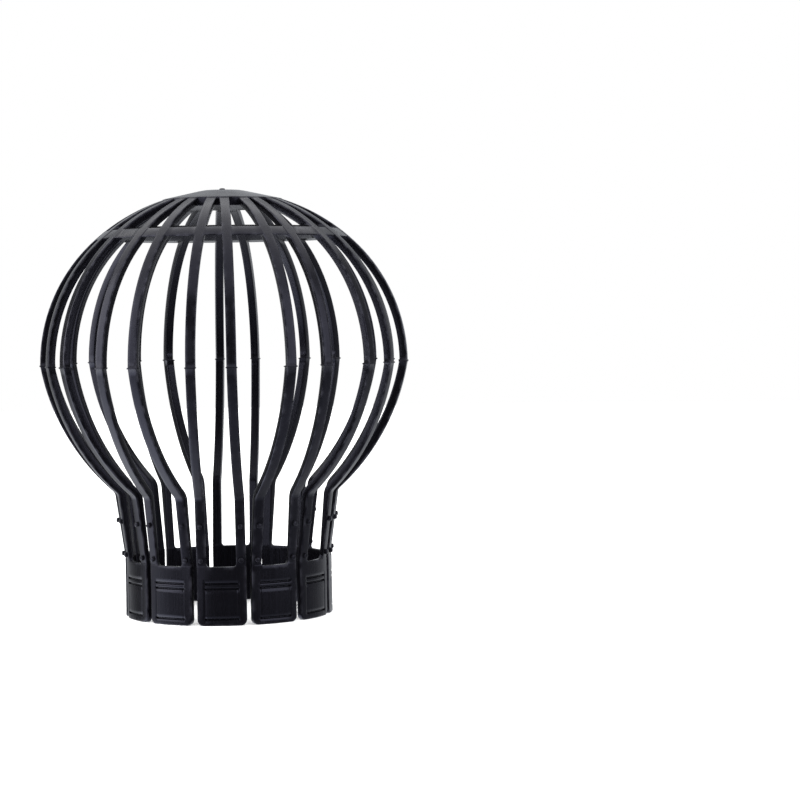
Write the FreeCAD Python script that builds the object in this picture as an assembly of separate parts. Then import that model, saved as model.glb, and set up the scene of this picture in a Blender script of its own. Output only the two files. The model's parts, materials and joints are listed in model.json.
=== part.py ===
"""Balloon leaf filter for a round downpipe, moulded in one piece of black plastic.

Twelve petals stand on the inside of the pipe mouth. Each petal is a curved foot plate
with two upright ribs. The ribs swell out into a ball, cross a moulding line at its
widest part, and close over the top through a hoop into a solid crown.
Millimetres, +Z up, the axis of the filter on Z and the foot plates standing on Z = 0.
"""

import FreeCAD, Part
import math
import os

# Ball: an oval dome above its widest line, a bulged cone below it
ball_radius = 77.3
widest_height = 105.6
dome_rise = 72.7
elbow_radius = 47.4
elbow_height = 52.0
lower_bulge = 5.3

# Foot that stands in the pipe
petal_count = 12
foot_radius = 43.6
plate_height = 24.0
plate_gap = 2.5
plate_wall = 2.2
plate_corner = 2.5

# Ribs, which thin down the neck and run a little way into the plates and the crown
rib_width = 4.0
rib_wall = 3.2
neck_wall = 1.8
rib_recess = 0.15
rib_root = 1.0

# Crown and hoop, whose faces stand off those of the ribs by a hair
crown_radius = 25.0
crown_flat = 8.0
crown_proud = 0.2
hoop_drop = 18.3
hoop_band = 3.5
hoop_recess = 0.2

# Moulding line where the two halves of the mould met
seam_height = 0.5
seam_proud = 0.3

# Outlined panel on each foot plate
panel_inset = 3.4
panel_low = 2.65
panel_drop = 9.0
groove_row = 1.0
groove_side = 0.7
groove_depth = 0.45

# Pips on the neck of every rib, and the gate mark on the crown
pip_rises = (2.6, 16.6)
pip_width = 2.1
pip_proud = 1.2
gate_width = 2.5
gate_proud = 0.8
peg_sides = 6

# How far a cutting shape runs past what it cuts
clear = 5.0

Vector = FreeCAD.Vector
origin = Vector(0, 0, 0)
up = Vector(0, 0, 1)
pitch = 360.0 / petal_count
half_pitch = math.radians(pitch / 2)
crown_height = widest_height + dome_rise
reach = ball_radius + clear
plate_half = foot_radius * math.sin(half_pitch) - plate_gap / 2 * math.cos(half_pitch)
rib_offset = plate_half - rib_width / 2
window_half = plate_half - rib_width
pair_angle = math.asin(rib_offset / ball_radius)
neck_radius = foot_radius - rib_recess
neck_slope = math.atan2(elbow_radius - neck_radius, elbow_height - plate_height)
face_angle = math.asin(rib_offset / neck_radius)

# The dome is a four-centre oval: a side arc and a top arc that meet on one normal
oval_chord = math.hypot(ball_radius, dome_rise)
side_share = (oval_chord - ball_radius + dome_rise) / 2
side_radius = side_share * oval_chord / ball_radius
top_radius = (oval_chord - side_share) * oval_chord / dome_rise
side_centre = Vector(ball_radius - side_radius, 0, widest_height)
top_centre = Vector(0, 0, crown_height - top_radius)
join_angle = math.atan2(dome_rise, ball_radius)


def at(radius, height):
    """A point of a section, in the XZ plane."""
    return Vector(radius, 0, height)


def lean(angle):
    """The unit direction at an angle from the axis, in the XZ plane."""
    return Vector(math.sin(angle), 0, math.cos(angle))


def polyline(points):
    """Straight edges from point to point."""
    return [Part.makeLine(start, end) for start, end in zip(points, points[1:])]


def arc(centre, radius, start, end):
    """An arc of a section between two angles from the axis."""
    middle = (start + end) / 2
    points = [centre + lean(angle) * radius for angle in (start, middle, end)]
    return Part.Arc(*points).toShape()


def section(edges):
    """The flat face inside a closed run of edges."""
    return Part.Face(Part.Wire(Part.__sortEdges__(edges)))


def revolved(face):
    return face.revolve(origin, up, 360)


def around(shape):
    """Copies of a shape turned about the axis, one for each petal."""
    copies = []
    for index in range(petal_count):
        copy = shape.copy()
        copy.rotate(origin, up, index * pitch)
        copies.append(copy)
    return copies


def pair(shape):
    """A shape and its mirror image across the middle plane of a petal."""
    return [shape, shape.mirror(origin, Vector(0, 1, 0))]


def tube(inner, outer, low, high):
    """An upright tube on the axis."""
    corners = [at(inner, low), at(outer, low), at(outer, high), at(inner, high)]
    return revolved(section(polyline(corners + corners[:1])))


def slab(near_side, far_side, low, high):
    """A box that runs outward from the axis between two sides of a petal."""
    start = Vector(0, near_side, low)
    return Part.makeBox(reach, far_side - near_side, high - low, start)


def peg(start, way, width, length):
    """A blunt many-sided peg that grows from a point in a level or upright direction."""
    across = way.cross(up) if way.cross(up).Length > 0.5 else Vector(1, 0, 0)
    along = way.cross(across)
    step = 2 * math.pi / peg_sides
    angles = [step * (index + 0.5) for index in range(peg_sides)]
    corners = [start + (across * math.cos(a) + along * math.sin(a)) * (width / 2) for a in angles]
    return section(polyline(corners + corners[:1])).extrude(way * length)


def mid_rib(radius, height):
    """The point at a radius on the upright plane along the middle of a lower rib."""
    return at(math.sqrt(radius**2 - rib_offset**2), height)


def askew(face, width):
    """Both lower ribs of a petal, from a section on the middle of a rib.

    The section is pushed out to both sides at an angle, so the sides stay parallel to the
    middle plane of the petal and the face lies square to the axis where it meets the plate.
    """
    shift = width * math.tan(face_angle)
    rib = face.extrude(Vector(-shift, width, 0))
    rib.translate(Vector(shift / 2, rib_offset - width / 2, 0))
    return pair(rib)


def dome_radius(height, inset):
    """The radius of the dome at a height, a distance inside its outer face."""
    side_rise = height - side_centre.z
    if side_rise < side_radius * math.cos(join_angle):
        return side_centre.x + math.sqrt((side_radius - inset) ** 2 - side_rise**2)
    return math.sqrt((top_radius - inset) ** 2 - (height - top_centre.z) ** 2)


def crown():
    """The solid cap on top, a flat cone with a level middle, and its gate mark."""
    rim = math.asin(crown_radius / top_radius)
    rim_height = top_centre.z + top_radius * math.cos(rim) + crown_proud
    outer = [at(0, crown_height), at(crown_flat, crown_height), at(crown_radius, rim_height)]
    wall = rib_wall / math.cos(rim) + 2 * crown_proud
    inner = [point - up * wall for point in reversed(outer)]
    cap = revolved(section(polyline(outer + inner + outer[:1])))
    gate = peg(at(0, crown_height - wall / 2), up, gate_width, wall / 2 + gate_proud)
    return [cap, gate]


def hoop():
    """The flat ring that ties the ribs together under the crown."""
    low = crown_height - hoop_drop - hoop_band / 2
    high = low + hoop_band
    inset = rib_wall - hoop_recess
    corners = [
        at(dome_radius(low, hoop_recess), low),
        at(dome_radius(high, hoop_recess), high),
        at(dome_radius(high, inset), high),
        at(dome_radius(low, inset), low),
    ]
    return revolved(section(polyline(corners + corners[:1])))


def upper_ribs():
    """The two ribs of a petal above the moulding line, each flat across its own meridian."""
    rim = math.asin((crown_radius - rib_root) / top_radius)
    level = math.pi / 2
    outer = (side_radius, top_radius)
    inner = (side_radius - rib_wall, top_radius - rib_wall)
    edges = []
    for side, top in (outer, inner):
        edges.append(arc(side_centre, side, level, join_angle))
        edges.append(arc(top_centre, top, join_angle, rim))
    edges += polyline([side_centre + lean(level) * radius for radius in (inner[0], outer[0])])
    edges += polyline([top_centre + lean(rim) * radius for radius in (inner[1], outer[1])])
    rib = section(edges).extrude(Vector(0, rib_width, 0))
    rib.translate(Vector(0, -rib_width / 2, 0))
    rib.rotate(origin, up, math.degrees(pair_angle))
    return pair(rib)


def lower_ribs():
    """The two ribs of a petal from the moulding line down to the plate, side by side.

    The inner line of the ball is the outer one offset by the wall, and its corner at the
    elbow lies on the bisector of the two slopes that meet there. Below the elbow the rib
    thins to the wall of the neck.
    """

    def inward(slope):
        return Vector(-math.cos(slope), 0, math.sin(slope))

    widest = mid_rib(ball_radius, widest_height)
    elbow = mid_rib(elbow_radius, elbow_height)
    foot = mid_rib(neck_radius, plate_height)
    chord = widest - elbow
    chord_slope = math.atan2(chord.x, chord.z)
    half_turn = 2 * math.atan(2 * lower_bulge / chord.Length)
    middle = (widest + elbow) * 0.5 - inward(chord_slope) * lower_bulge
    elbow_turn = chord_slope + half_turn - neck_slope
    elbow_shift = rib_wall / math.cos(elbow_turn / 2)
    inner_widest = widest - at(rib_wall / math.cos(chord_slope - half_turn), 0)
    inner_middle = middle + inward(chord_slope) * rib_wall
    inner_elbow = elbow + inward(neck_slope + elbow_turn / 2) * elbow_shift
    inner_foot = foot - at(neck_wall / math.cos(neck_slope), 0)
    root = at(0, rib_root)

    edges = polyline([elbow, foot, foot - root, inner_foot - root, inner_foot, inner_elbow])
    edges += polyline([inner_widest, widest])
    edges.append(Part.Arc(widest, middle, elbow).toShape())
    edges.append(Part.Arc(inner_widest, inner_middle, inner_elbow).toShape())
    return askew(section(edges), rib_width)


def plate():
    """A foot plate: a slice of the foot tube with round lower corners and an outlined panel."""
    outline = slab(-plate_half, plate_half, 0, plate_height)
    foot_edges = [
        edge
        for edge in outline.Edges
        if edge.BoundBox.ZMax < plate_corner and edge.BoundBox.XLength > plate_corner
    ]
    ring = tube(foot_radius - plate_wall, foot_radius, 0, plate_height)
    return ring.common(outline.makeFillet(plate_corner, foot_edges)).cut(panel_groove())


def panel_groove():
    """The shallow frame cut round the lower panel of a foot plate."""
    half = plate_half - panel_inset
    high = plate_height - panel_drop
    side = groove_side / 2
    row = groove_row / 2
    outside = slab(-half - side, half + side, panel_low - row, high + row)
    inside = slab(side - half, half - side, panel_low + row, high - row)
    skin = tube(foot_radius - groove_depth, foot_radius + clear, 0, plate_height)
    return outside.cut(inside).common(skin)


def seam_ridges():
    """The moulding line, a thin ridge all round both ribs of a petal."""
    outer = mid_rib(ball_radius, widest_height - seam_height / 2) + at(seam_proud, 0)
    depth = at(rib_wall + 2 * seam_proud, 0)
    corners = [outer, outer + up * seam_height, outer + up * seam_height - depth, outer - depth]
    return askew(section(polyline(corners + corners[:1])), rib_width + 2 * seam_proud)


def pips():
    """Blunt pegs that stand out from the neck of both ribs of a petal."""
    pegs = []
    for rise in pip_rises:
        radius = neck_radius + rise * math.tan(neck_slope)
        outward = Vector(math.cos(face_angle), math.sin(face_angle), 0)
        face = mid_rib(radius, plate_height + rise) + Vector(0, rib_offset, 0)
        root = outward * (neck_wall / 2)
        pegs += pair(peg(face - root, outward, pip_width, neck_wall / 2 + pip_proud))
    return pegs


def strainer_basket():
    """The whole moulding, fused into one solid."""
    petal = [plate()] + upper_ribs() + lower_ribs() + seam_ridges() + pips()
    pieces = crown() + [hoop()]
    for piece in petal:
        pieces += around(piece)
    return pieces[0].fuse(pieces[1:]).removeSplitter().Solids[0]


os.makedirs("parts", exist_ok=True)
strainer_basket().exportStep("parts/strainer_basket.step")
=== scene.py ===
"""Balloon leaf filter for a round downpipe.

The moulded cage of ribs, plates, hoop and crown, the small pegs on it, and a pale stage.
"""

import json
import math

import bpy
import numpy as np
from bpy.props import FloatProperty, FloatVectorProperty, IntProperty, PointerProperty
from mathutils import Matrix, Vector


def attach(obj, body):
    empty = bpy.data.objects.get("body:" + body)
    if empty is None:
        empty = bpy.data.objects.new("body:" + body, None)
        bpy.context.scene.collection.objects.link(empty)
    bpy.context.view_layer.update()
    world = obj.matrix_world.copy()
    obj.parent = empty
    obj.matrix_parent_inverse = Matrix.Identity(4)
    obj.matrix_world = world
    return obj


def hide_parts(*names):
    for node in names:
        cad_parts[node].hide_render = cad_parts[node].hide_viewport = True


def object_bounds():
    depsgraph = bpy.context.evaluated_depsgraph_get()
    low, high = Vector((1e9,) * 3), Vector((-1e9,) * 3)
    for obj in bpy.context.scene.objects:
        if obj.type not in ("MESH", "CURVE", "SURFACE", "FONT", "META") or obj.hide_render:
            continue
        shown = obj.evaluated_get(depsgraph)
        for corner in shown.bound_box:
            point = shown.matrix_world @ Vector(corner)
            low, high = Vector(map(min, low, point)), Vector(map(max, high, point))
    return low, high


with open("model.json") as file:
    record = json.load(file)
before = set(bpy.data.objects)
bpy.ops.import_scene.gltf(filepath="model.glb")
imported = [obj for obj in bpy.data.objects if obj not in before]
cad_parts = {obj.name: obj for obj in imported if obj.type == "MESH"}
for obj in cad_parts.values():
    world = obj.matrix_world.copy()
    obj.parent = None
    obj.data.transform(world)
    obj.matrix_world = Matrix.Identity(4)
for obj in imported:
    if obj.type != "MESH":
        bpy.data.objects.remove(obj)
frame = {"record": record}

CAD_BOX = [list(corner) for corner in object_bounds()]

bl_info = {
    "name": "Leaf Filter",
    "version": (1, 0, 0),
    "blender": (4, 5, 0),
    "location": "View3D > Sidebar > Leaf Filter",
    "description": "Builds a balloon leaf filter for a round downpipe",
    "category": "Object",
}

MM = 0.001
SPIGOT = next(mount for mount in frame["record"]["mounts"] if mount["name"] == "spigot")
SEAM_PROUD = 0.3 * MM
GATE_PROUD = 0.8 * MM
BALL_RADIUS = round(CAD_BOX[1][0] - SEAM_PROUD, 4)
CROWN_HEIGHT = round(CAD_BOX[1][2] - GATE_PROUD, 4)
WIDEST_HEIGHT = 105.6 * MM

# Where a stretch of the cage lies along a rib
CROWN, RIB, HOOP, PLATE = range(4)

# How the rows of the cage are spread: over the crown, dome and ball, up the neck and up a plate
ROW_STEP = 2.8 * MM
CROWN_START = 1.5 * MM
CROWN_ROWS = 12
RIM_CLEAR = 0.1 * MM
RIDGE_ROWS = np.array([0.7, 0.45])
ELBOW_ROWS = 6
NECK_ROWS = np.array([19, 14, 11, 8, 5.5, 3.5, 2.2, 1.2, 0.9, 0.6, 0.3]) * MM
PLATE_ROWS = np.array([1.2, 4.4, 6.5, 9.0, 11.5, 13.0, 19.0, 20.7, 22.4]) * MM

# How its columns are spread: over a rib, a plate beside the panel, a window corner and a gap
RIB_SHARES = np.array([0.3, 0.5, 0.7])
PLATE_SHARES = np.array([0.45, 0.7])
CORNER_SHARES = np.array([0.25, 0.5, 0.75, 1.0, 2.6])
GAP_SHARES = np.array([0.03, 0.2, 0.4, 0.6, 0.8, 0.97])
EDGE_TURNS = np.radians([90, 60, 30, 0])

# How far one form fades into the next: a corner in its radii, the others in metres
CORNER_FADE = 1.8
LEVEL_FADE = 12 * MM
SETTLE_FADE = 5 * MM
FOOT_REACH = 3 * MM
WINDOW_REACH = 4 * MM

# Cells whose depth changes by more than this share of a panel line are the walls of that line
STEEP_SHARE = 1 / 3

# Pegs: sides, turns of the rounded end, rise of its middle over the radius, and how rubbed they are
NEARLY_UPRIGHT = 0.9
PEG_SIDES = 20
PEG_TURNS = np.radians([0, 22.5, 45, 67.5, 90])
PEG_SHOULDER = 0.04
PEG_TOP = 0.05
PEG_WEAR = 0.3

# Patterns of the plastic: scales per metre, wear along edges, roughness, bump and gloss
STREAK_ALONG = 30.0
STREAK_ACROSS = 1300.0
MOTTLE_SCALE = 55.0
PATCH_SCALE = 260.0
GRAIN_SCALE = 2600.0
NOISE_SPAN = (0.3, 0.7)
WEAR_SPAN = (0.42, 0.66)
WEAR_REACH = 0.45 * MM
WEAR_DEPTH = 0.6 * MM
MOTTLE_ROUGH = (-0.05, 0.06)
STREAK_ROUGH = (-0.03, 0.04)
GRAIN_BUMP = 0.3
STREAK_BUMP = 0.45
BUMP_STRENGTH = 0.12
BUMP_HEIGHT = 0.05 * MM
PLASTIC_IOR = 1.49
PLASTIC_GLOSS = 0.16

# Lamps: name, place, the point each faces, width in metres and power in watts
LAMPS = (
    ("ceiling", (-0.4, 0.3, 2.6), (-0.4, 0.3, 0.0), 5.0, 178.0),
    ("left_light", (-0.75, -0.2, 0.42), (0.0, -0.2, 0.42), 0.7, 9.5),
    ("right_light", (0.8, -0.6, 0.48), (0.0, 0.0, 0.12), 0.9, 10.0),
    ("front_light", (-0.65, -0.9, 0.22), (0.0, 0.0, 0.2), 0.6, 4.2),
)

# Soft panels of the sky: way to each, the cosines where it starts and is full, and its strength
SKY_PANELS = (
    ((0.0, 1.0, 0.0), 0.4, 0.9, "sky_behind"),
    ((-0.75, -0.05, -0.66), 0.72, 0.97, "sky_left"),
    ((0.95, 0.31, 0.0), 0.5, 0.95, "sky_right"),
    ((0.0, 0.0, -1.0), 0.15, 0.8, "sky_below"),
)
WHITE = (1.0, 1.0, 1.0, 1.0)
STUDIO_TINT = (0.92, 0.95, 1.0, 1.0)
FLOOR_RINGS = np.array([0.3, 0.8, 1.4, 2.0])
FLOOR_STEPS = 96
FLOOR_ROUGHNESS = 0.9
FLOOR_GLOSS = 0.1
SENSOR_WIDTH = 36.0
FAR_CLIP = 100.0


def length(name, description, default):
    """A size in metres that the sidebar shows."""
    return FloatProperty(
        name=name, description=description, default=default, min=0.0, precision=5, unit="LENGTH"
    )


def colour(name, description, default):
    """A colour that the sidebar shows as a swatch."""
    return FloatVectorProperty(
        name=name, description=description, default=default, min=0.0, max=1.0, size=3, subtype="COLOR"
    )


def fraction(name, description, default):
    """A number from 0 to 1."""
    return FloatProperty(
        name=name, description=description, default=default, min=0.0, max=1.0, subtype="FACTOR"
    )


def strength(name, description, default):
    """The strength of a light."""
    return FloatProperty(name=name, description=description, default=default, min=0.0)


def tilt(name, description, degrees):
    """An angle that the sidebar shows in degrees."""
    return FloatProperty(
        name=name, description=description, default=math.radians(degrees), subtype="ANGLE"
    )


class LeafFilterCage(bpy.types.PropertyGroup):
    """Sizes of the moulded cage."""

    petal_count: IntProperty(name="Petals", description="Foot plates round the axis", default=12, min=3)
    ball_radius: length("Ball radius", "Radius of the ball at its widest line", BALL_RADIUS)
    widest_height: length("Widest height", "Height of the moulding line", WIDEST_HEIGHT)
    dome_rise: length("Dome rise", "Crown above the moulding line", CROWN_HEIGHT - WIDEST_HEIGHT)
    elbow_radius: length("Elbow radius", "Radius where the ball turns into the neck", 47.4 * MM)
    elbow_height: length("Elbow height", "Height of that turn", 52.0 * MM)
    elbow_round: length("Elbow softness", "Length of rib on each side that the turn takes", 1.4 * MM)
    lower_bulge: length("Lower bulge", "How far the lower ball swells past a straight cone", 5.3 * MM)
    foot_radius: length("Foot radius", "Outside of the plates", SPIGOT["dims"]["r_mm"] * MM)
    plate_height: length("Plate height", "Height of the foot plates", SPIGOT["dims"]["length_mm"] * MM)
    plate_gap: length("Plate gap", "Slot between neighbouring plates", 2.5 * MM)
    plate_wall: length("Plate wall", "Thickness of a plate", 2.2 * MM)
    plate_corner: length("Plate corner", "Radius of the lower corners of a plate", 2.5 * MM)
    window_corner: length("Window corner", "Radius in the corners between plate and rib", 1.2 * MM)
    rib_width: length("Rib width", "Width of a rib", 4.0 * MM)
    rib_wall: length("Rib wall", "Depth of a rib from the outside in", 3.2 * MM)
    rib_draft: length("Rib draft", "How much narrower a rib is inside, on each side", 0.3 * MM)
    neck_wall: length("Neck wall", "Depth that a rib thins to at the plate", 1.8 * MM)
    rib_recess: length("Rib recess", "How far the neck starts inside the plate face", 0.15 * MM)
    crown_radius: length("Crown radius", "Radius of the solid cap", 25.0 * MM)
    crown_flat: length("Crown flat", "Radius of the level middle of the cap", 8.0 * MM)
    crown_soft: length("Crown softness", "Half the width of the turn from level to cone", 1.5 * MM)
    crown_proud: length("Crown proud", "How far the rim of the cap stands above the ribs", 0.2 * MM)
    hoop_drop: length("Hoop drop", "Middle of the hoop below the crown", 18.3 * MM)
    hoop_band: length("Hoop band", "Height of the hoop", 3.5 * MM)
    hoop_recess: length("Hoop recess", "How far the hoop lies inside the faces of the ribs", 0.2 * MM)
    seam_height: length("Seam height", "Height of the moulding line's ridge", 0.5 * MM)
    seam_proud: length("Seam proud", "How far that ridge stands out", SEAM_PROUD)
    panel_inset: length("Panel inset", "Panel outline from the sides of a plate", 3.4 * MM)
    panel_low: length("Panel low", "Lower line of the panel above the foot", 2.65 * MM)
    panel_drop: length("Panel drop", "Upper line of the panel below the plate top", 9.0 * MM)
    groove_row: length("Groove row", "Width of the level lines of the panel", 1.0 * MM)
    groove_side: length("Groove side", "Width of the upright lines of the panel", 0.7 * MM)
    groove_depth: length("Groove depth", "Depth of the level lines of the panel", 0.6 * MM)
    groove_shallow: length("Shallow groove", "Depth of the upright lines of the panel", 0.08 * MM)
    groove_pit: length("Groove pit", "Extra depth where two panel lines meet", 0.25 * MM)
    twin_rise: length("Twin rise", "The second upper line above the first", 2.1 * MM)
    groove_draft: length("Groove draft", "Width of the sloping walls of the upright lines", 0.2 * MM)
    groove_flank: length("Groove flank", "Width of the sloping walls of the level lines", 0.38 * MM)
    edge_round: length("Edge round", "Radius along every edge of the moulding", 0.4 * MM)


class LeafFilterPegs(bpy.types.PropertyGroup):
    """Sizes of the pips on the neck and of the gate mark on the crown."""

    low_rise: length("Lower pip", "Lower pip above the plate top", 2.6 * MM)
    high_rise: length("Upper pip", "Upper pip above the plate top", 16.6 * MM)
    pip_width: length("Pip width", "Width of a pip", 2.1 * MM)
    pip_proud: length("Pip proud", "How far a pip stands out of its rib", 1.2 * MM)
    gate_width: length("Gate width", "Width of the gate mark", 2.5 * MM)
    gate_proud: length("Gate proud", "Height of the gate mark", GATE_PROUD)
    sunk: length("Sunk", "How far a peg reaches into its wall", 0.9 * MM)
    soft: length("Softness", "Radius round the end of a peg", 0.45 * MM)


class LeafFilterFinish(bpy.types.PropertyGroup):
    """Look of the plastic."""

    black: colour("Plastic", "Colour of the moulded plastic", (0.0018, 0.0017, 0.0023))
    worn: colour("Worn plastic", "Colour along rubbed edges", (0.020, 0.020, 0.025))
    sheen: colour("Gloss tint", "Colour that the gloss leans to", (0.71, 0.72, 1.0))
    gloss: fraction("Roughness", "Mean roughness of the skin", 0.26)


class LeafFilterStage(bpy.types.PropertyGroup):
    """Floor, light and camera."""

    floor: colour("Floor", "Colour of the floor", (0.86, 0.86, 0.86))
    sky_front: strength("Front", "Light from behind the camera", 0.07)
    sky_behind: strength("Behind", "Light from behind the object", 0.75)
    sky_left: strength("Left", "Light from the left, from below", 4.8)
    sky_right: strength("Right", "Light from the right", 0.45)
    sky_below: strength("Below", "Light from below, in the gloss alone", 1.2)
    camera_side: length("Camera side", "Camera to the right of the axis", 73.5 * MM)
    camera_back: length("Camera back", "Camera in front of the axis", 961.7 * MM)
    camera_height: length("Camera height", "Camera above the floor", 128.4 * MM)
    camera_turn: tilt("Camera turn", "Turn about the axis", -0.12)
    camera_pitch: tilt("Camera pitch", "Downward tilt", 2.356)
    camera_roll: tilt("Camera roll", "Roll about the line of sight", -0.867)
    focal_share: FloatProperty(
        name="Focal share",
        description="Focal length over the width of the picture",
        default=2.8475,
        min=0.1,
    )


class CageForm:
    """What follows from the sizes of the cage: angles, arc centres and half widths."""

    def __init__(self, sizes):
        self.pitch = 2 * math.pi / sizes.petal_count
        half_pitch = self.pitch / 2
        half_gap = sizes.plate_gap / 2
        self.plate_half = sizes.foot_radius * math.sin(half_pitch) - half_gap * math.cos(half_pitch)
        self.rib_offset = self.plate_half - sizes.rib_width / 2
        self.window_half = self.plate_half - sizes.rib_width
        self.pair_angle = math.asin(self.rib_offset / sizes.ball_radius)
        self.neck_radius = sizes.foot_radius - sizes.rib_recess
        self.neck_slope = math.atan2(
            sizes.elbow_radius - self.neck_radius, sizes.elbow_height - sizes.plate_height
        )
        self.rib_wall = sizes.rib_wall
        self.crown_height = sizes.widest_height + sizes.dome_rise
        self.oval(sizes)
        self.crown(sizes)
        self.hoop(sizes)
        self.lower_arc(sizes)

    def oval(self, sizes):
        """The four-centre oval of the dome: a side arc and a top arc that meet on one normal."""
        chord = math.hypot(sizes.ball_radius, sizes.dome_rise)
        side_share = (chord - sizes.ball_radius + sizes.dome_rise) / 2
        self.side_radius = side_share * chord / sizes.ball_radius
        self.top_radius = (chord - side_share) * chord / sizes.dome_rise
        self.join_angle = math.atan2(sizes.dome_rise, sizes.ball_radius)
        self.side_centre = sizes.ball_radius - self.side_radius
        self.top_centre = self.crown_height - self.top_radius
        self.join_run = self.top_radius * self.join_angle
        self.dome_run = self.join_run + self.side_radius * (math.pi / 2 - self.join_angle)

    def crown(self, sizes):
        """The cap: its level middle, the fall of its cone, and its wall measured straight down."""
        rim_angle = math.asin(sizes.crown_radius / self.top_radius)
        rim_height = self.top_centre + self.top_radius * math.cos(rim_angle) + sizes.crown_proud
        self.rim_run = self.top_radius * rim_angle
        self.crown_radius = sizes.crown_radius
        self.crown_flat = sizes.crown_flat
        self.crown_soft = sizes.crown_soft
        self.crown_fall = (self.crown_height - rim_height) / (sizes.crown_radius - sizes.crown_flat)
        self.crown_wall = sizes.rib_wall / math.cos(rim_angle) + 2 * sizes.crown_proud

    def hoop(self, sizes):
        """The runs of arc from the crown to the upper and the lower edge of the hoop."""
        middle = sizes.dome_rise - sizes.hoop_drop + sizes.widest_height - self.top_centre
        half = sizes.hoop_band / 2
        self.hoop_high = self.top_radius * math.acos((middle + half) / self.top_radius)
        self.hoop_low = self.top_radius * math.acos((middle - half) / self.top_radius)

    def lower_arc(self, sizes):
        """The arc along the middle of a lower rib, from the moulding line to the elbow."""
        self.widest = np.array([self.mid_rib(sizes.ball_radius), sizes.widest_height])
        self.elbow = np.array([self.mid_rib(sizes.elbow_radius), sizes.elbow_height])
        chord = self.widest - self.elbow
        chord_length = np.hypot(*chord)
        half_turn = 2 * math.atan(2 * sizes.lower_bulge / chord_length)
        self.start_slope = math.atan2(*chord) - half_turn
        self.bulge_radius = chord_length / 2 / math.sin(half_turn)
        self.bulge_run = self.bulge_radius * 2 * half_turn

    def mid_rib(self, radius):
        """Distance along the middle plane of a petal to a point of the rib's middle at a radius."""
        return math.sqrt(radius**2 - self.rib_offset**2)

    def crown_line(self, radius):
        """Radius, height and slope of the cap: level, then a cone, with a parabola where they meet."""
        past = radius - self.crown_flat
        turn = np.clip(past + self.crown_soft, 0, 2 * self.crown_soft)
        fall = turn**2 / (4 * self.crown_soft) + np.clip(past - self.crown_soft, 0, None)
        steep = self.crown_fall * turn / (2 * self.crown_soft)
        return radius, self.crown_height - self.crown_fall * fall, np.arctan(steep) - math.pi / 2

    def dome_line(self, run):
        """Radius, height and slope of the dome at a run of arc from the crown."""
        on_top = run < self.join_run
        on_side = self.join_angle + (run - self.join_run) / self.side_radius
        angle = np.where(on_top, run / self.top_radius, on_side)
        bend = np.where(on_top, self.top_radius, self.side_radius)
        centre_x = np.where(on_top, 0.0, self.side_centre)
        centre_z = np.where(on_top, self.top_centre, self.widest[1])
        return centre_x + bend * np.sin(angle), centre_z + bend * np.cos(angle), angle - math.pi / 2

    def bulge_line(self, run):
        """Radius, height and slope of the lower ball at a run of arc from the moulding line."""
        slope = self.start_slope + run / self.bulge_radius
        across = np.cos(slope) - math.cos(self.start_slope)
        drop = np.sin(slope) - math.sin(self.start_slope)
        along = self.widest[0] + self.bulge_radius * across
        return np.hypot(along, self.rib_offset), self.widest[1] - self.bulge_radius * drop, slope

    def dome_radius(self, height):
        """Radius of the inner face of the dome at a height: that of arcs smaller by the wall."""
        side_bend = self.side_radius - self.rib_wall
        top_bend = self.top_radius - self.rib_wall
        rise = height - self.widest[1]
        side = self.side_centre + np.sqrt(np.clip(side_bend**2 - rise**2, 0, None))
        top = np.sqrt(np.clip(top_bend**2 - (height - self.top_centre) ** 2, 0, None))
        return np.where(rise < side_bend * math.cos(self.join_angle), side, top)

    def dome_inside(self, run):
        """Radius and height of the inner face of the dome, row by row.

        It is level with the outer face from the hoop down, so that the hoop has level sides. Above
        the hoop its radius goes over in proportion to that of the crown's rim.
        """
        radius, height, _ = self.dome_line(run)
        hoop_radius, hoop_height, _ = self.dome_line(np.array([self.hoop_high]))
        way = (radius - self.crown_radius) / (hoop_radius - self.crown_radius)
        slot = self.crown_radius + way * (self.dome_radius(hoop_height) - self.crown_radius)
        slot_height = self.top_centre + np.sqrt((self.top_radius - self.rib_wall) ** 2 - slot**2)
        above = run < self.hoop_high
        return np.where(above, slot, self.dome_radius(height)), np.where(above, slot_height, height)

    def bulge_inside(self, run):
        """Radius and height of the inner face of the lower ball.

        It is level with the outer face at the moulding line, and goes over to the normal within a fade.
        """
        radius, height, slope = self.bulge_line(run)
        level = np.clip(1 - run / LEVEL_FADE, 0, 1)
        inset = self.rib_wall * (np.cos(slope) + level * np.sin(slope) * np.tan(slope))
        return radius - inset, height + self.rib_wall * np.sin(slope) * (1 - level)


def quarter_round(radius):
    """Distances from an edge at which a quarter circle of a radius turns by equal angles."""
    return radius * (1 - np.sin(EDGE_TURNS))


def rounded_drop(distance, radius):
    """Depth of a quarter-circle edge below the face, by the distance from that edge.

    It is the radius less the height of the circle there.
    """
    inside = np.clip(radius - distance, 0, radius)
    return radius - np.sqrt(radius**2 - inside**2)


def stretch(*runs):
    """Stations joined end to end, sorted and each kept once."""
    return np.unique(np.round(np.concatenate([np.atleast_1d(run) for run in runs]), 9))


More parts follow.
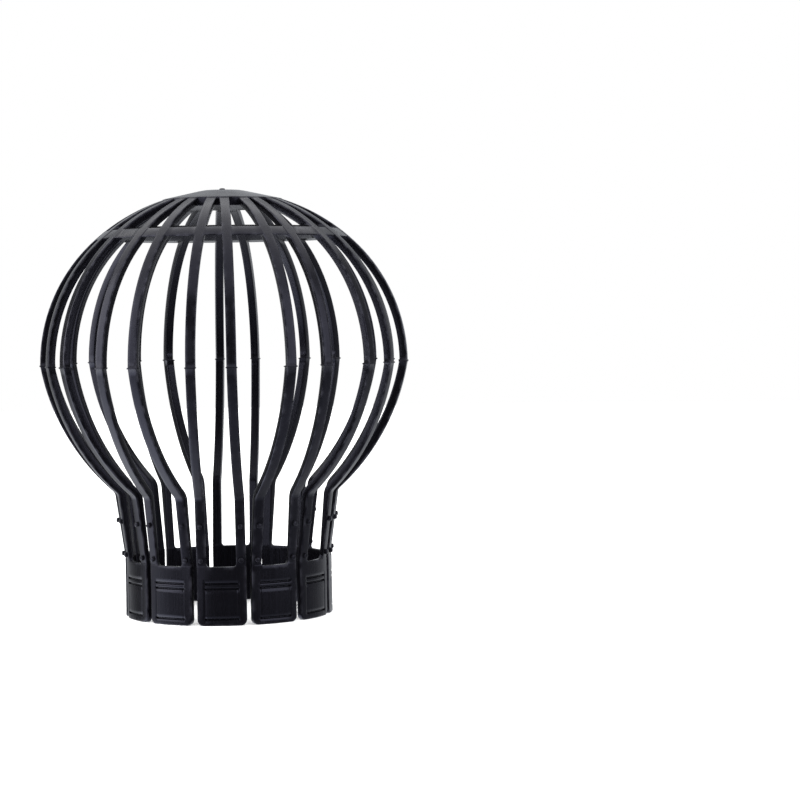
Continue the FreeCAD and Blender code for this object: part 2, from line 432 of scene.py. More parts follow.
def cage_rows(sizes, form):
    """The rows of the cage grid down one rib, from the crown to the lower end of a plate.

    Each row has a radius, a height, a slope, the place of the inner face, the stretch that it is
    in, its distance into a solid band (crown or hoop), its share of the moulding line and the
    draft of a rib there. The line is the crown's cone, the oval dome, the bulged arc, a soft
    elbow, the straight neck and the upright plate, one after the other.
    """
    edge = quarter_round(sizes.edge_round)
    high, low = form.hoop_high, form.hoop_low
    ridge = sizes.seam_height * RIDGE_ROWS

    crown_edge = sizes.crown_radius - sizes.edge_round
    crown = stretch(np.linspace(CROWN_START, crown_edge, CROWN_ROWS), sizes.crown_radius - edge)
    slot_count = round((high - form.rim_run) / ROW_STEP)
    slots = np.linspace(form.rim_run + RIM_CLEAR, high, slot_count)[:-1]
    hoop = stretch(high + edge, (high + low) / 2, low - edge)
    seam_start = form.dome_run - ridge[0]
    upper = np.linspace(low, seam_start, round((seam_start - low) / ROW_STEP))[1:-1]
    dome = np.concatenate([slots, hoop, upper, form.dome_run - ridge])
    ball_end = form.bulge_run - sizes.elbow_round
    ball = np.linspace(ridge[0], ball_end, round((ball_end - ridge[0]) / ROW_STEP))
    bulge = np.concatenate([[0.0], ridge[::-1], ball[1:]])
    neck_radius = form.neck_radius + NECK_ROWS * math.tan(form.neck_slope)
    neck_slope = np.full(len(NECK_ROWS), form.neck_slope)
    foot = plate_rows(sizes, edge)

    lines = [
        form.crown_line(crown),
        form.dome_line(dome),
        form.bulge_line(bulge),
        elbow_rows(form, ball_end, sizes.elbow_round),
        (neck_radius, NECK_ROWS + sizes.plate_height, neck_slope),
        (np.full(len(foot), sizes.foot_radius), foot, np.zeros(len(foot))),
    ]
    radius, height, slope = (np.concatenate(parts) for parts in zip(*lines))
    crown_end, dome_end, bulge_end, _, neck_end, count = np.cumsum([len(line[0]) for line in lines])

    kind = np.full(count, RIB)
    kind[:crown_end] = CROWN
    kind[crown_end + len(slots):crown_end + len(slots) + len(hoop)] = HOOP
    kind[neck_end:] = PLATE
    into = np.zeros(count)
    into[:crown_end] = sizes.crown_radius - crown
    into[crown_end:dome_end] = np.clip(np.minimum(dome - high, low - dome), 0, None)
    seam = np.zeros(count)
    seam[crown_end:dome_end] = form.dome_run - dome < sizes.seam_height / 2
    seam[dome_end:bulge_end] = bulge < sizes.seam_height / 2

    neck_rise = sizes.elbow_height - sizes.plate_height
    up_neck = np.clip((height - sizes.plate_height) / neck_rise, 0, 1)
    rib_wall = sizes.neck_wall + (sizes.rib_wall - sizes.neck_wall) * up_neck
    wall = np.where(kind == PLATE, sizes.plate_wall, rib_wall)
    inner_radius = radius - wall * np.cos(slope)
    inner_height = height + wall * np.sin(slope)
    inner_radius[:crown_end] = radius[:crown_end]
    inner_height[:crown_end] = height[:crown_end] - form.crown_wall
    inner_radius[crown_end:dome_end], inner_height[crown_end:dome_end] = form.dome_inside(dome)
    inner_radius[dome_end:bulge_end], inner_height[dome_end:bulge_end] = form.bulge_inside(bulge)
    return {
        "radius": radius,
        "height": height,
        "slope": slope,
        "inset": radius - inner_radius,
        "lower": height - inner_height,
        "draft": sizes.rib_draft * up_neck,
        "kind": kind,
        "into": into,
        "seam": seam,
        "meridian": np.arange(count) < dome_end,
        "run": np.concatenate([[0.0], np.cumsum(np.hypot(np.diff(radius), np.diff(height)))]),
    }


def elbow_rows(form, ball_end, soft):
    """The soft turn at the elbow: a quadratic curve from the arc to the neck.

    The elbow is its pole, and its slope is that of its derivative.
    """
    start_r, start_z, _ = form.bulge_line(np.array([ball_end]))
    start = np.array([start_r[0], start_z[0]])
    pole = np.array([math.hypot(form.elbow[0], form.rib_offset), form.elbow[1]])
    end = pole - soft * np.array([math.sin(form.neck_slope), math.cos(form.neck_slope)])
    part = np.linspace(0, 1, ELBOW_ROWS + 1)[1:, None]
    points = (1 - part) ** 2 * start + 2 * part * (1 - part) * pole + part**2 * end
    way = 2 * (1 - part) * (pole - start) + 2 * part * (end - pole)
    return points[:, 0], points[:, 1], np.arctan2(-way[:, 0], -way[:, 1])


def plate_rows(sizes, edge):
    """Heights of the rows of a foot plate, close together at its ends and at the lines of the panel."""
    row = sizes.groove_row / 2
    floor_half = row - sizes.groove_flank
    line = np.array([-row, -floor_half, floor_half, row])
    panel_high = sizes.plate_height - sizes.panel_drop
    upper = np.concatenate([panel_high + line, panel_high + sizes.twin_rise + line])
    rows = stretch(edge, PLATE_ROWS, sizes.panel_low + line, upper, sizes.plate_height - edge)
    return rows[::-1]


def cage_columns(sizes, form):
    """The columns of one petal: a rib, the window, the other rib and the gap to the next petal.

    Each column has the strip that it lies in and its place there. In a rib that is the distance
    from the window, in the window the share of its half width, and in the gap the share of its width.
    """
    edge = quarter_round(sizes.edge_round)
    width = sizes.rib_width
    on_rib = np.concatenate([edge, RIB_SHARES * width, width - edge[::-1]])
    panel_line = form.plate_half - sizes.panel_inset - form.window_half
    side = sizes.groove_side / 2
    draft = sizes.groove_draft
    lines = panel_line + np.array([-side, draft - side, side - draft, side])
    on_plate = np.concatenate([[0.0], lines, PLATE_SHARES * width, width - edge[::-1]])
    in_window = 1 - sizes.window_corner * CORNER_SHARES / form.window_half
    window = np.concatenate([-in_window, [0.0], in_window[::-1]])
    no_window = np.zeros(len(window))
    no_gap = np.zeros(len(GAP_SHARES))
    no_rib = np.zeros(len(on_rib))
    right = np.ones(len(on_rib))
    counts = [len(on_rib), len(window), len(on_rib), len(GAP_SHARES)]
    return {
        "side": np.concatenate([-right, no_window, right, no_gap]),
        "strip": np.repeat(["rib", "window", "rib", "gap"], counts),
        "on_rib": np.concatenate([on_rib[::-1], no_window, on_rib, no_gap]),
        "on_plate": np.concatenate([on_plate[::-1], no_window, on_plate, no_gap]),
        "share": np.concatenate([no_rib, window, no_rib, GAP_SHARES]),
    }


def corner_shift(along, across, radius):
    """Shift that bends a square corner into an arc, for points along one of its two sides.

    A point within one radius of the corner goes to the arc, at an angle in proportion to its distance.
    The shift fades with the square of the distance across from that side. It is given as two
    parts: along the side, away from the corner, and square to it, towards the arc's centre.
    """
    angle = np.pi / 4 * (1 - np.clip(along / radius, 0, 1))
    fade = np.clip(1 - across / (CORNER_FADE * radius), 0, 1) ** 2
    near = along < radius
    back = np.where(near, radius - radius * np.sin(angle) - along, 0.0)
    rise = np.where(near, radius - radius * np.cos(angle), 0.0)
    return back * fade, rise * fade


def plate_corner_shift(lateral, height, sizes, form):
    """Shift in and up that brings the points near a plate's lower corners onto its round outline.

    It is the shift from the plate's side and that from its lower end, less what the two share.
    """
    from_side = form.plate_half - np.abs(lateral)
    radius = sizes.plate_corner
    in_a, up_a = corner_shift(from_side, height, radius)
    up_b, in_b = corner_shift(height, from_side, radius)
    fade = np.clip(1 - np.stack([from_side, height]) / (CORNER_FADE * radius), 0, 1) ** 2
    shared = radius * (1 - math.sqrt(0.5)) * fade[0] * fade[1]
    return in_a + in_b - shared, up_a + up_b - shared


def distance_to_opening(rows, columns, lateral, height, sizes, form):
    """Distance of each point of the sheet from the nearest opening or end of the sheet.

    On a rib it is the distance to the nearer side. In the crown and the hoop it is the distance to
    the edge of the band, and under a rib to the corners of the slots. On a plate it is the distance
    inside the plate's round-cornered outline, or to the foot of the window with its round corners.
    """
    width = sizes.rib_width
    on_rib = columns["on_rib"][None, :]
    to_side = np.minimum(on_rib, width - on_rib)
    ribs = (columns["strip"] == "rib")[None, :]
    into = rows["into"][:, None]
    band = np.where(ribs, np.hypot(to_side, into), into)

    side = np.abs(lateral)
    corner = sizes.plate_corner
    to_end = np.minimum(form.plate_half - side, height)
    in_corner = (side > form.plate_half - corner) & (height < corner)
    to_arc = corner - np.hypot(side - form.plate_half + corner, corner - height)
    outline = np.where(in_corner, to_arc, to_end)
    small = sizes.window_corner
    past = side - (form.window_half - small)
    under = sizes.plate_height + small - height
    to_window = np.where(
        past <= 0,
        sizes.plate_height - height,
        np.where(under <= 0, side - form.window_half, np.hypot(past, under) - small),
    )
    foot = np.minimum(outline, to_window)

    kind = rows["kind"][:, None]
    solid = (kind == CROWN) | (kind == HOOP)
    low = height < sizes.plate_height + FOOT_REACH
    return np.clip(np.where(solid, band, np.where(low, foot, to_side)), 0, None)


def panel_groove(lateral, height, sizes, form):
    """Depth of the panel lines: two upright lines at the sides, one level line below and two above.

    Each is a flat floor between two sloping walls, by the distance inside its edges. Where an
    upright line meets a level one, a pit is deeper than both.
    """
    draft = sizes.groove_draft
    half = form.plate_half - sizes.panel_inset
    side = sizes.groove_side / 2
    row = sizes.groove_row / 2
    low = sizes.panel_low
    high = sizes.plate_height - sizes.panel_drop
    across = np.abs(lateral)
    to_end = np.clip((half + side - across) / draft, 0, 1)

    def line(middle):
        return np.clip((row - np.abs(height - middle)) / sizes.groove_flank, 0, 1)

    corner = np.maximum(line(low), line(high))
    level = np.maximum(corner, line(high + sizes.twin_rise)) * to_end
    within = np.minimum(height - low, high - height) + row
    upright = np.clip(np.minimum(side - np.abs(across - half), within) / draft, 0, 1)
    lines = np.maximum(sizes.groove_depth * level, sizes.groove_shallow * upright)
    return lines + sizes.groove_pit * np.minimum(upright, corner)


def cage_sheet(sizes, form, rows, columns):
    """Outer and inner points of one petal of the cage, and each point's numbers.

    Those are its distance from an edge, its place across the petal and the depth of the panel lines.
    Both faces are surfaces of the two parameters, row and column. A point stands at the row's radius
    and height on that face, moved in along the row's normal by a depth, and at the column's angle.
    Above the seam a rib follows its own meridian, so its angle is the pair angle plus the arc sine of
    its offset over the radius. Below it the two ribs are parallel, so the angle is the arc sine of the
    whole offset. The depth is that of the rounded edge, with the panel lines and the hoop's recess
    added and the seam ridge taken off. The inner face of a rib is narrower by its draft.
    """
    height = np.repeat(rows["height"][:, None], len(columns["side"]), 1)
    plate = (rows["kind"] == PLATE)[:, None]
    below_top = (sizes.plate_height - rows["height"])[:, None]
    settled = np.clip(below_top / SETTLE_FADE, 0, 1) * plate
    on_rib = columns["on_rib"] + (columns["on_plate"] - columns["on_rib"]) * settled
    strip = columns["strip"][None, :]
    ribs = strip == "rib"
    sides = columns["side"][None, :]
    share = columns["share"][None, :]
    lateral = np.where(ribs, sides * (form.window_half + on_rib), share * form.window_half)
    inward, upward = plate_corner_shift(lateral, height, sizes, form)
    on_plate = plate & (strip != "gap")
    lateral = lateral - np.sign(lateral) * np.where(on_plate, inward, 0.0)
    height = height + np.where(on_plate, upward, 0.0)
    side_shift, rise = window_corner_shift(lateral, height, sizes, form)
    on_dome = rows["meridian"][:, None]
    near_window = (rows["height"] < sizes.plate_height + WINDOW_REACH)[:, None] & ~on_dome
    lateral = lateral - np.sign(lateral) * np.where(near_window, side_shift, 0.0)
    height = height + np.where(near_window, rise, 0.0)

    distance = distance_to_opening(rows, columns, lateral, height, sizes, form)
    drop = rounded_drop(distance, sizes.edge_round)
    seam = rows["seam"][:, None] * sizes.seam_proud
    groove = np.where(on_plate, panel_groove(lateral, height, sizes, form), 0.0)
    hoop = (rows["kind"] == HOOP)[:, None] & ~ribs
    recess = np.where(hoop, sizes.hoop_recess, 0.0)
    draft = rows["draft"][:, None]
    slope = rows["slope"][:, None]
    half = sizes.rib_width / 2

    def place(face, depth, wider):
        """Radius, angle and height on the outer face (0) or the inner one (1)."""
        radius = (rows["radius"] - face * rows["inset"])[:, None] - depth * np.cos(slope)
        level = height - face * rows["lower"][:, None] + depth * np.sin(slope)
        steady = np.maximum(radius, sizes.crown_radius)
        off = (on_rib - half) * (1 + wider / half)
        meridian = sides * (form.pair_angle + np.arcsin(off / steady))
        parallel = np.arcsin(np.clip((lateral + sides * (off - on_rib + half)) / steady, -1, 1))
        half_angle = np.arcsin(half / steady)
        window_edge = form.pair_angle - half_angle
        gap_edge = np.where(on_dome, form.pair_angle + half_angle, np.arcsin(form.plate_half / steady))
        rib_angle = np.where(on_dome, meridian, parallel)
        window_angle = np.where(on_dome, share * window_edge, parallel)
        gap_angle = gap_edge + share * (form.pitch - 2 * gap_edge)
        open_angle = np.where(strip == "window", window_angle, gap_angle)
        return np.stack([radius, np.where(ribs, rib_angle, open_angle), level], -1)

    outer = place(0, drop + groove + recess - seam, seam)
    inner = place(1, seam - drop - recess, seam - draft)
    return outer, inner, distance, lateral, groove


def window_corner_shift(lateral, height, sizes, form):
    """Shift into the window and up that brings the points near its foot onto its round corners.

    It is the shift from the window's side above the plate, and from its lower end elsewhere, and
    fades with the square of the distance into the plastic.
    """
    radius = sizes.window_corner
    into_window = form.window_half - np.abs(lateral)
    above = height - sizes.plate_height
    reach = CORNER_FADE * radius
    side_fade = np.clip(1 - np.maximum(-into_window, 0) / reach, 0, 1) ** 2
    top_fade = np.clip(1 - np.maximum(-above, 0) / reach, 0, 1) ** 2
    top_back, top_rise = corner_shift(np.clip(into_window, 0, None), 0.0, radius)
    side_back, side_rise = corner_shift(np.clip(above, 0, None), 0.0, radius)
    on_side = above > 0
    inward = np.where(on_side, side_rise, top_back)
    upward = np.where(on_side, side_back, top_rise)
    return inward * side_fade * top_fade, upward * side_fade * top_fade


def ring_grid(rows, steps):
    """Point numbers of a grid that closes round an axis, those one step on, and the grid's cells."""
    index = np.arange(rows * steps).reshape(rows, steps)
    after = np.roll(index, -1, 1)
    return index, after, np.stack([index[:-1], index[1:], after[1:], after[:-1]], -1)


def cage_mesh(sizes):
    """Points and faces of the whole cage, one closed skin, with the numbers that its finish reads.

    The sheet of one petal is repeated round the axis. A cell of the grid is solid in the crown and
    the hoop, on the ribs, and on the plates outside the gaps. Solid cells give an outer and an inner
    face, and each border between a solid and an open cell gives a side face. Two fans close the
    crown on the axis. The steep walls of the panel lines are marked as crisp, so that their normals
    don't blend into the plate.
    """
    form = CageForm(sizes)
    rows = cage_rows(sizes, form)
    columns = cage_columns(sizes, form)
    outer, inner, distance, lateral, groove = cage_sheet(sizes, form, rows, columns)
    row_count, petal_columns = distance.shape
    column_count = petal_columns * sizes.petal_count

    def ring(sheet):
        turns = form.pitch * np.arange(sizes.petal_count)
        angle = (sheet[:, None, :, 1] + turns[None, :, None]).reshape(row_count, column_count)
        radius = np.tile(sheet[:, :, 0], sizes.petal_count)
        level = np.tile(sheet[:, :, 2], sizes.petal_count)
        return np.stack([radius * np.cos(angle), radius * np.sin(angle), level], -1)

    size = row_count * column_count
    top = form.crown_height
    poles = np.array([[0, 0, top], [0, 0, top - form.crown_wall]])
    points = np.concatenate([ring(outer).reshape(-1, 3), ring(inner).reshape(-1, 3), poles])
    petal = np.repeat(np.arange(sizes.petal_count), petal_columns)[None, :]
    flow = {
        "edge": np.exp(-np.tile(distance, sizes.petal_count) / WEAR_REACH),
        "along": np.repeat(rows["run"][:, None], column_count, 1),
        "across": np.tile(lateral, sizes.petal_count) + 2 * sizes.ball_radius * petal,
    }
    flow = {
        key: np.concatenate([sheet.ravel(), sheet.ravel(), [0.0, 0.0]])
        for key, sheet in flow.items()
    }
    flow["deep"] = sizes.rib_wall * np.concatenate([np.zeros(size), np.ones(size), [0.0, 1.0]])

    solid = solid_cells(rows, columns, sizes)
    index, after, cell = ring_grid(row_count, column_count)
    quads = [cell[solid], cell[solid][:, ::-1] + size]
    depth = np.tile(groove, sizes.petal_count).ravel()[cell[solid]]
    steep = np.ptp(depth, axis=1) > sizes.groove_depth * STEEP_SHARE

    def sides(mask, first, second):
        start = first[mask]
        end = second[mask]
        return np.stack([start, end, end + size, start + size], -1)

    above = np.concatenate([np.ones((1, column_count), bool), solid[:-1]])
    below = np.concatenate([solid[1:], np.zeros((1, column_count), bool)])
    left = np.roll(solid, 1, 1)
    right = np.roll(solid, -1, 1)
    quads.append(sides(solid & ~right, after[:-1], after[1:]))
    quads.append(sides(solid & ~left, index[1:], index[:-1]))
    quads.append(sides(solid & ~below, after[1:], index[1:]))
    quads.append(sides(solid & ~above, index[:-1], after[:-1]))
    fan = np.stack([np.full(column_count, 2 * size), index[0], after[0]], -1)
    under = np.stack([np.full(column_count, 2 * size + 1), after[0] + size, index[0] + size], -1)
    quads = np.concatenate(quads)
    crisp = np.zeros(len(quads), bool)
    crisp[:len(steep)] = steep
    return points, quads, np.concatenate([fan, under]), flow, crisp


def solid_cells(rows, columns, sizes):
    """Which cells of the grid hold plastic, by the stretch of the row and the strip of the column."""
    kind = rows["kind"]
    same = kind[:-1] == kind[1:]
    crown_or_hoop = (same & ((kind[:-1] == CROWN) | (kind[:-1] == HOOP)))[:, None]
    plate = (same & (kind[:-1] == PLATE))[:, None]
    strip = columns["strip"]
    on_gap = (strip == "gap") | ((strip == "rib") & (np.roll(strip, -1) == "gap"))
    on_window = (strip == "window") | ((strip == "rib") & (np.roll(strip, -1) == "window"))
    on_rib = ~on_gap & ~on_window
    petal = on_rib[None, :] | (plate & on_window[None, :]) | crown_or_hoop
    return np.tile(petal, sizes.petal_count)


def peg_mesh(start, way, radius, proud, sunk, soft):
    """Points and faces of round-ended pegs: one profile turned about each peg's own line.

    The profile runs from the middle of the sunk end out to the side, up to a quarter circle
    at the end and in to its middle, which is a little higher. Both ends close on one point.
    """
    inner = radius - soft
    corner_across = inner + soft * np.cos(PEG_TURNS)
    corner_along = proud - soft + soft * np.sin(PEG_TURNS)
    across = np.concatenate([[radius, radius], corner_across, [inner / 2]])
    along = np.concatenate([[-sunk, 0.0], corner_along, [proud + PEG_SHOULDER * radius]])
    upright = np.abs(way[:, 2:]) > NEARLY_UPRIGHT
    helper = np.where(upright, [[1.0, 0.0, 0.0]], [[0.0, 0.0, 1.0]])
    first = np.cross(way, helper)
    first = first / np.linalg.norm(first, axis=1, keepdims=True)
    second = np.cross(way, first)
    angle = np.linspace(0, 2 * np.pi, PEG_SIDES, endpoint=False)[None, :, None]
    spoke = first[:, None] * np.cos(angle) + second[:, None] * np.sin(angle)
    rings = start[:, None, None] + across[None, :, None, None] * spoke[:, None]
    rings = rings + along[None, :, None, None] * way[:, None, None]
    end_along = np.array([-sunk, proud + PEG_TOP * radius])
    ends = start[:, None] + end_along[None, :, None] * way[:, None]
    count = len(across) * PEG_SIDES
    points = np.concatenate([rings.reshape(len(start), count, 3), ends], 1)
    index, after, cell = ring_grid(len(across), PEG_SIDES)
    quads = cell[..., [0, 3, 2, 1]].reshape(-1, 4)
    low = np.stack([after[0], index[0], np.full(PEG_SIDES, count)], -1)
    high = np.stack([index[-1], after[-1], np.full(PEG_SIDES, count + 1)], -1)
    base = (np.arange(len(start)) * (count + 2))[:, None, None]
    quads = (quads[None] + base).reshape(-1, 4)
    fans = (np.concatenate([low, high])[None] + base).reshape(-1, 3)
    return points.reshape(-1, 3), quads, fans


def pip_places(sizes, pegs):
    """Foot and direction of each pip, on the middle of the neck of every rib.

    The radius is the neck's at that height. The angle is the petal's, plus or minus the arc sine
    of the rib's offset over that radius.
    """
    form = CageForm(sizes)
    rise = np.array([pegs.low_rise, pegs.high_rise])
    radius = form.neck_radius + rise * math.tan(form.neck_slope)
    turns = form.pitch * np.arange(sizes.petal_count)
    grids = np.meshgrid(turns, [-1.0, 1.0], [0, 1], indexing="ij")
    turn, side, level = (grid.ravel() for grid in grids)
    angle = turn + side * np.arcsin(form.rib_offset / radius[level])
    way = np.stack([np.cos(angle), np.sin(angle), np.zeros(len(angle))], -1)
    start = way * radius[level][:, None]
    start[:, 2] = sizes.plate_height + rise[level]
    return start, way


def new_piece(name, points, quads, fans, attributes, crisp=None):
    """A mesh object with its own numbers at each point, smooth but for the quads marked as crisp."""
    used = np.unique(np.concatenate([quads.ravel(), fans.ravel()]))
    place = np.zeros(len(points), int)
    place[used] = np.arange(len(used))
    faces = place[quads].tolist() + place[fans].tolist()
    mesh = bpy.data.meshes.new(name)
    mesh.from_pydata(points[used].tolist(), [], faces)
    smooth = np.ones(len(faces), bool)
    if crisp is not None:
        smooth[:len(quads)] = ~crisp
    mesh.polygons.foreach_set("use_smooth", smooth)
    for key, values in attributes.items():
        layer = mesh.attributes.new(key, "FLOAT", "POINT")
        layer.data.foreach_set("value", values[used].astype(np.float32))
    mesh.update()
    piece = bpy.data.objects.new(name, mesh)
    bpy.context.scene.collection.objects.link(piece)
    return piece


class NodeKit:
    """Adds the nodes of one tree, and sets or links what goes into them."""

    def __init__(self, tree):
        self.add = tree.nodes.new
        self.link = tree.links.new

    def fill(self, node, sockets):
        """Sets each input to its value, or links it to another node's output."""
        for key, value in sockets.items():
            if isinstance(value, bpy.types.NodeSocket):
                self.link(value, node.inputs[key])
            else:
                node.inputs[key].default_value = value
        return node

    def maths(self, operation, first, second):
        """One number out of two."""
        node = self.add("ShaderNodeMath")
        node.operation = operation
        return self.fill(node, {0: first, 1: second}).outputs["Value"]

    def span(self, value, source, target, curve="LINEAR"):
        """A number carried over from one range to another."""
        node = self.add("ShaderNodeMapRange")
        node.interpolation_type = curve
        limits = zip(("From Min", "From Max", "To Min", "To Max"), (*source, *target))
        return self.fill(node, {"Value": value, **dict(limits)}).outputs["Result"]

    def noise(self, vector, scale, detail):
        """A cloudy pattern from 0 to 1."""
        node = self.add("ShaderNodeTexNoise")
        return self.fill(node, {"Vector": vector, "Scale": scale, "Detail": detail}).outputs["Fac"]

    def number(self, key):
        """A number that each point of the mesh holds."""
        node = self.add("ShaderNodeAttribute")
        node.attribute_name = key
        return node.outputs["Fac"]


def plastic_material(finish):
    """Black moulded plastic: satin skin, fine grain, flow streaks along the ribs and rubbed edges.

    The streaks are noise stretched along the run of a rib. The wear is the nearness to an outer edge
    times a patchy noise. The roughness is the mean and two noises, and the bump is grain and streaks.
    """
    name = "black_plastic_skin"
    material = bpy.data.materials.get(name) or bpy.data.materials.new(name)
    material.use_nodes = True
    material.node_tree.nodes.clear()
    kit = NodeKit(material.node_tree)

    place = kit.add("ShaderNodeTexCoord").outputs["Object"]
    deep = kit.number("deep")
    flow = kit.fill(kit.add("ShaderNodeCombineXYZ"), {
        "X": kit.maths("MULTIPLY", kit.number("along"), STREAK_ALONG),
        "Y": kit.maths("MULTIPLY", kit.number("across"), STREAK_ACROSS),
        "Z": kit.maths("MULTIPLY", deep, STREAK_ACROSS),
    })
    streaks = kit.noise(flow.outputs["Vector"], scale=1.0, detail=2.0)
    mottle = kit.noise(place, MOTTLE_SCALE, detail=3.0)
    patches = kit.noise(place, PATCH_SCALE, detail=4.0)
    grain = kit.noise(place, GRAIN_SCALE, detail=2.0)

    outside = kit.span(deep, (0.0, WEAR_DEPTH), (1.0, 0.0))
    corner = kit.maths("MULTIPLY", kit.number("edge"), outside)
    rubbed = kit.maths("MULTIPLY", corner, kit.span(patches, WEAR_SPAN, (0.0, 1.0)))
    tint = kit.add("ShaderNodeMix")
    tint.data_type = "RGBA"
    kit.fill(tint, {"Factor": rubbed, "A": (*finish.black, 1.0), "B": (*finish.worn, 1.0)})

    mottle_rough = [finish.gloss + change for change in MOTTLE_ROUGH]
    rough = kit.span(mottle, NOISE_SPAN, mottle_rough)
    rough = kit.maths("ADD", rough, kit.span(streaks, NOISE_SPAN, STREAK_ROUGH))

    grain_height = kit.maths("MULTIPLY", grain, GRAIN_BUMP)
    height = kit.maths("ADD", grain_height, kit.maths("MULTIPLY", streaks, STREAK_BUMP))
    bump = kit.fill(kit.add("ShaderNodeBump"), {
        "Strength": BUMP_STRENGTH,
        "Distance": BUMP_HEIGHT,
        "Height": height,
    })
    shader = kit.fill(kit.add("ShaderNodeBsdfPrincipled"), {
        "Base Color": tint.outputs["Result"],
        "Roughness": rough,
        "IOR": PLASTIC_IOR,
        "Specular IOR Level": PLASTIC_GLOSS,
        "Specular Tint": (*finish.sheen, 1.0),
        "Normal": bump.outputs["Normal"],
    })
    kit.fill(kit.add("ShaderNodeOutputMaterial"), {"Surface": shader.outputs["BSDF"]})
    return material


def finish_piece(piece, context):
    """Gives a piece the plastic and sets it on the frame."""
    piece.data.materials.append(plastic_material(context.scene.leaf_filter_finish))
    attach(piece, "root")


class LEAFFILTER_OT_cage(bpy.types.Operator):
    """Mould the cage: crown, hoop, ribs, moulding line and foot plates in one skin"""

    bl_idname = "leaf_filter.cage"
    bl_label = "Mould Cage"

    def execute(self, context):
        piece = new_piece("moulded_cage", *cage_mesh(context.scene.leaf_filter_cage))
        finish_piece(piece, context)
        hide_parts("strainer_basket")
        return {"FINISHED"}


class LEAFFILTER_OT_pegs(bpy.types.Operator):
    """Set the pips on the neck of every rib and the gate mark on the crown"""

    bl_idname = "leaf_filter.pegs"
    bl_label = "Set Pips and Gate Mark"

    def execute(self, context):
        sizes = context.scene.leaf_filter_cage
        pegs = context.scene.leaf_filter_pegs
        top = np.array([[0.0, 0.0, sizes.widest_height + sizes.dome_rise]])
        up = np.array([[0.0, 0.0, 1.0]])
        groups = {
            "neck_pips": (*pip_places(sizes, pegs), pegs.pip_width / 2, pegs.pip_proud),
            "gate_mark": (top, up, pegs.gate_width / 2, pegs.gate_proud),
        }
        for name, (start, way, radius, proud) in groups.items():
            points, quads, fans = peg_mesh(start, way, radius, proud, pegs.sunk, pegs.soft)
            piece = new_piece(name, points, quads, fans, {"edge": np.full(len(points), PEG_WEAR)})
            finish_piece(piece, context)
        return {"FINISHED"}


class LEAFFILTER_OT_stage(bpy.types.Operator):
    """Set the pale floor, the soft lights and the camera"""

    bl_idname = "leaf_filter.stage"
    bl_label = "Set Stage"

    def execute(self, context):
        stage = context.scene.leaf_filter_stage
        floor(stage)
        sky(context.scene, stage)
        for lamp in LAMPS:
            soft_light(*lamp)
        camera(context.scene, stage)
        context.scene.view_settings.view_transform = "Standard"
        return {"FINISHED"}


def floor(stage):
    """A flat round floor that the gloss doesn't mirror.

    Its points lie on circles about the axis, at equal angles, with one point in the middle.
    """
    turn = np.linspace(0, 2 * np.pi, FLOOR_STEPS, endpoint=False)
    spoke = np.stack([np.cos(turn), np.sin(turn), np.zeros(FLOOR_STEPS)], -1)
    rings = FLOOR_RINGS[:, None, None] * spoke
    points = np.concatenate([rings.reshape(-1, 3), np.zeros((1, 3))])
    index, after, cell = ring_grid(FLOOR_RINGS.size, FLOOR_STEPS)
    fan = np.stack([np.full(FLOOR_STEPS, len(points) - 1), index[0], after[0]], -1)
    ground = new_piece("floor", points, cell.reshape(-1, 4), fan, {})
    paint = bpy.data.materials.new("pale_floor")
    paint.use_nodes = True
    NodeKit(paint.node_tree).fill(paint.node_tree.nodes["Principled BSDF"], {
        "Base Color": (*stage.floor, 1.0),
        "Roughness": FLOOR_ROUGHNESS,
        "Specular IOR Level": FLOOR_GLOSS,
    })
    ground.data.materials.append(paint)
    ground.visible_glossy = False


def sky(scene, stage):
    """A white backdrop for the camera and the floor, and a dim studio for the gloss.

    The studio's strength is a small even value and, for each soft panel, a share that rises smoothly
    with the cosine between the line of sight and the way to that panel. It stays dim behind the
    camera.
    """
    world = bpy.data.worlds.new("studio")
    world.use_nodes = True
    nodes = world.node_tree.nodes
    kit = NodeKit(world.node_tree)
    sight = kit.add("ShaderNodeTexCoord").outputs["Generated"]
    total = stage.sky_front
    for way, low, high, key in SKY_PANELS:
        cosine = kit.add("ShaderNodeVectorMath")
        cosine.operation = "DOT_PRODUCT"
        kit.fill(cosine, {0: sight, 1: way})
        full = getattr(stage, key)
        rise = kit.span(cosine.outputs["Value"], (low, high), (0.0, full), curve="SMOOTHSTEP")
        total = kit.maths("ADD", rise, total)
    studio = kit.fill(kit.add("ShaderNodeBackground"), {"Color": STUDIO_TINT, "Strength": total})
    backdrop = kit.fill(nodes["Background"], {"Color": WHITE})
    ray = kit.add("ShaderNodeLightPath").outputs
    mix = kit.fill(kit.add("ShaderNodeMixShader"), {
        0: kit.maths("MAXIMUM", ray["Is Camera Ray"], ray["Is Diffuse Ray"]),
        1: studio.outputs["Background"],
        2: backdrop.outputs["Background"],
    })
    kit.fill(nodes["World Output"], {"Surface": mix.outputs["Shader"]})
    scene.world = world


def soft_light(name, place, target, width, power):
    """A square lamp of a width that faces a point."""
    lamp = bpy.data.lights.new(name, "AREA")
    lamp.size = width
    lamp.energy = power
    holder = bpy.data.objects.new(name, lamp)
    holder.location = place
    holder.rotation_euler = (Vector(target) - Vector(place)).to_track_quat("-Z", "Y").to_euler()
    bpy.context.scene.collection.objects.link(holder)


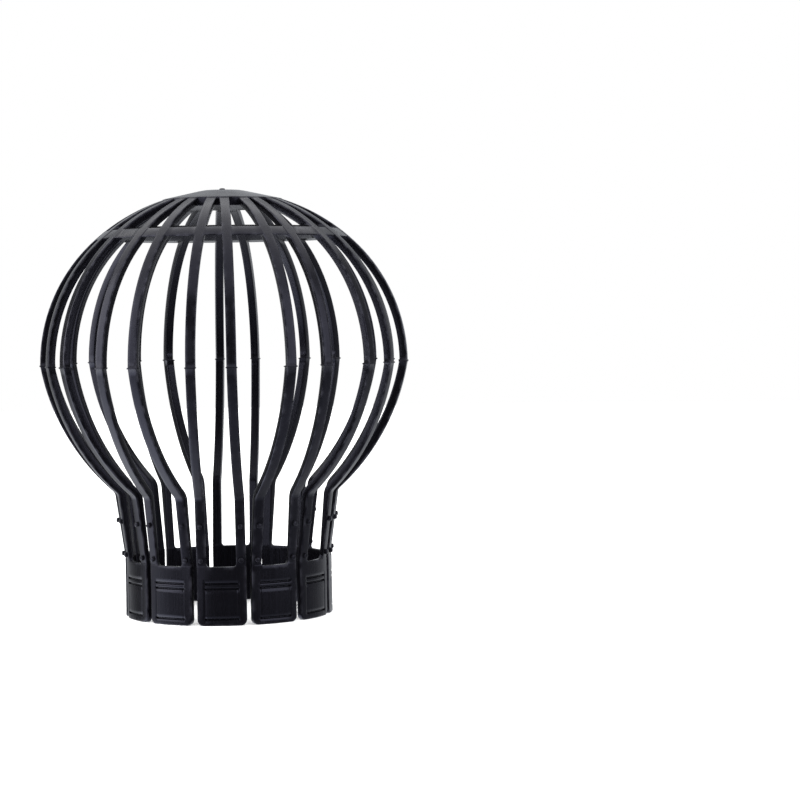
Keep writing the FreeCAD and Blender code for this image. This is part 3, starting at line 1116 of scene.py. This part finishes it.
def camera(scene, stage):
    """A camera in front of the axis, turned about it, tilted down and rolled a little."""
    lens = bpy.data.cameras.new("camera")
    lens.sensor_width = SENSOR_WIDTH
    lens.lens = lens.sensor_width * stage.focal_share
    lens.clip_end = FAR_CLIP
    holder = bpy.data.objects.new("camera", lens)
    turn = Matrix.Rotation(stage.camera_turn, 4, "Z")
    place = Matrix.Translation((stage.camera_side, -stage.camera_back, stage.camera_height))
    tilt = Matrix.Rotation(math.pi / 2 - stage.camera_pitch, 4, "X")
    roll = Matrix.Rotation(stage.camera_roll, 4, "Z")
    holder.matrix_world = turn @ place @ tilt @ roll
    scene.collection.objects.link(holder)
    scene.camera = holder


class LEAFFILTER_PT_panel(bpy.types.Panel):
    """Sizes, finish and steps of the leaf filter"""

    bl_idname = "LEAFFILTER_PT_panel"
    bl_label = "Leaf Filter"
    bl_space_type = "VIEW_3D"
    bl_region_type = "UI"
    bl_category = "Leaf Filter"

    def draw(self, context):
        for operator in OPERATORS:
            self.layout.operator(operator.bl_idname)
        for key in GROUPS:
            group = getattr(context.scene, key)
            column = self.layout.column()
            for name in group.bl_rna.properties.keys():
                if name not in {"rna_type", "name"}:
                    column.prop(group, name)


OPERATORS = (LEAFFILTER_OT_cage, LEAFFILTER_OT_pegs, LEAFFILTER_OT_stage)
GROUPS = {
    "leaf_filter_cage": LeafFilterCage,
    "leaf_filter_pegs": LeafFilterPegs,
    "leaf_filter_finish": LeafFilterFinish,
    "leaf_filter_stage": LeafFilterStage,
}


def register():
    for made in (*GROUPS.values(), *OPERATORS, LEAFFILTER_PT_panel):
        bpy.utils.register_class(made)
    for key, group in GROUPS.items():
        setattr(bpy.types.Scene, key, PointerProperty(type=group))


def unregister():
    for key in GROUPS:
        delattr(bpy.types.Scene, key)
    for made in (LEAFFILTER_PT_panel, *reversed(OPERATORS), *reversed(GROUPS.values())):
        bpy.utils.unregister_class(made)


def main():
    """Builds the pieces and the stage in order."""
    register()
    bpy.ops.leaf_filter.cage()
    bpy.ops.leaf_filter.pegs()
    bpy.ops.leaf_filter.stage()


if __name__ == "__main__":
    main()
